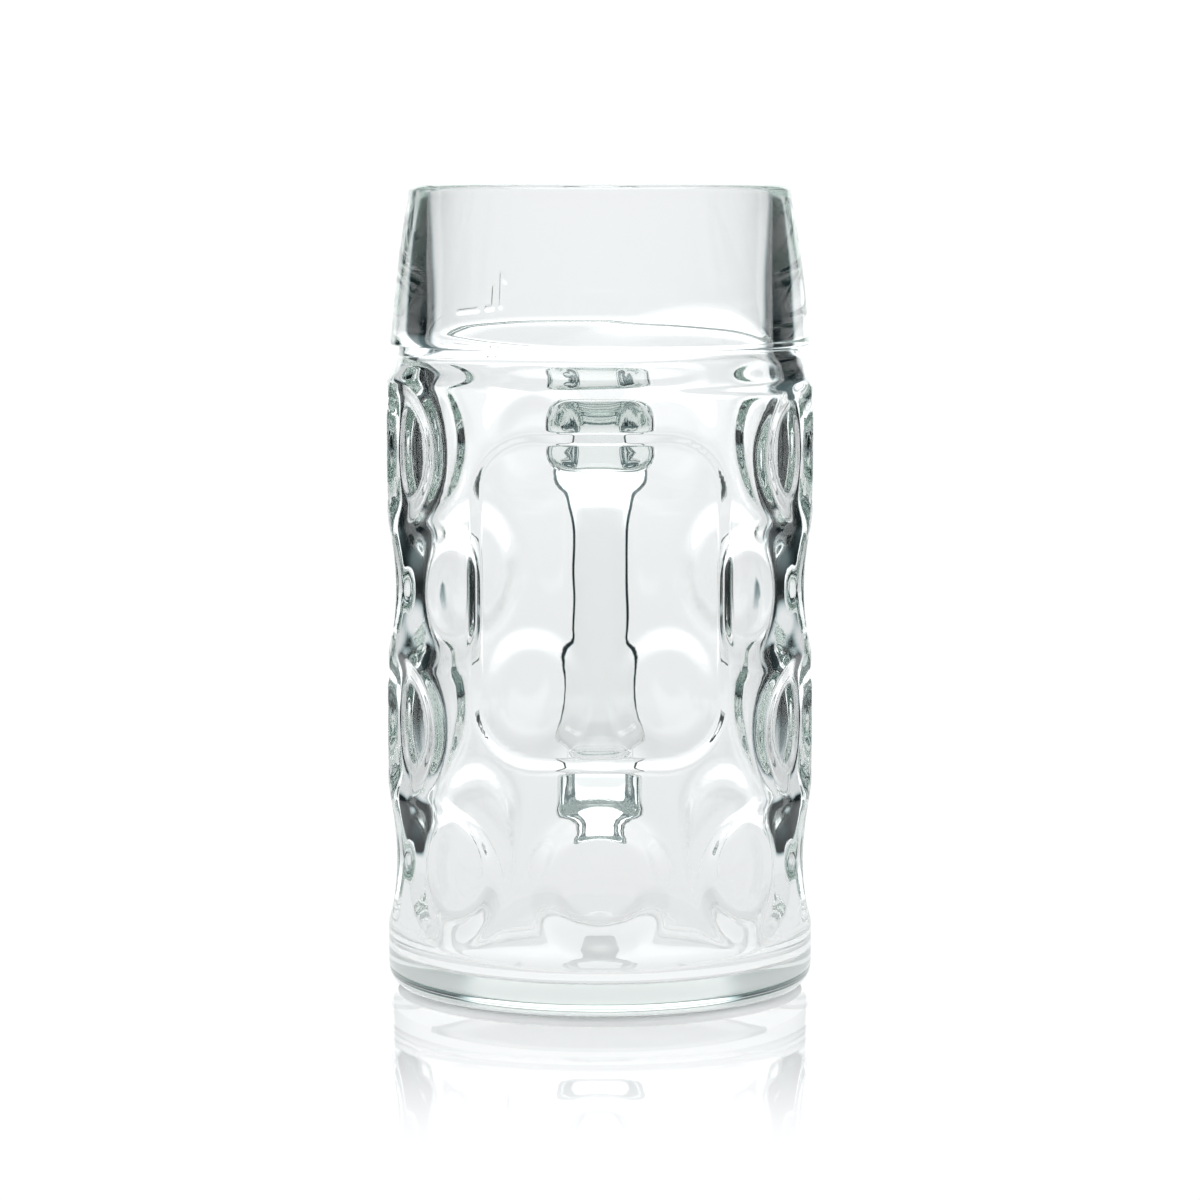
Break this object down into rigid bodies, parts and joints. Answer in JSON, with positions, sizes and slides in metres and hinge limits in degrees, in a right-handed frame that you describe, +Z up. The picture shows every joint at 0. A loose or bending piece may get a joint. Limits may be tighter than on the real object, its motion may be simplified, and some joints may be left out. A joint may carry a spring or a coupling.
{
  "type": "glass beer mug",
  "caption": "Tall round glass beer mug with staggered round dimples that swell the inner wall, a smooth front panel, a heavy collar above a groove and a sealed-on glass handle at the back.",
  "frame": {"origin": "on the mug's vertical axis, in the plane of the foot ring that it stands on, 1 mm below the flat recess inside that ring", "axes": "+Z up along the mug's axis, -Y out of the smooth front panel, +Y out along the handle, +X to the right seen from the front"},
  "size_m": [0.106, 0.1579, 0.2],
  "materials": {
    "clear_glass": "fire-polished, clear with a faint green tint"
  },
  "bodies": {
    "root": {"glass_body": "clear_glass", "handle": "clear_glass"}
  },
  "joints": []
}
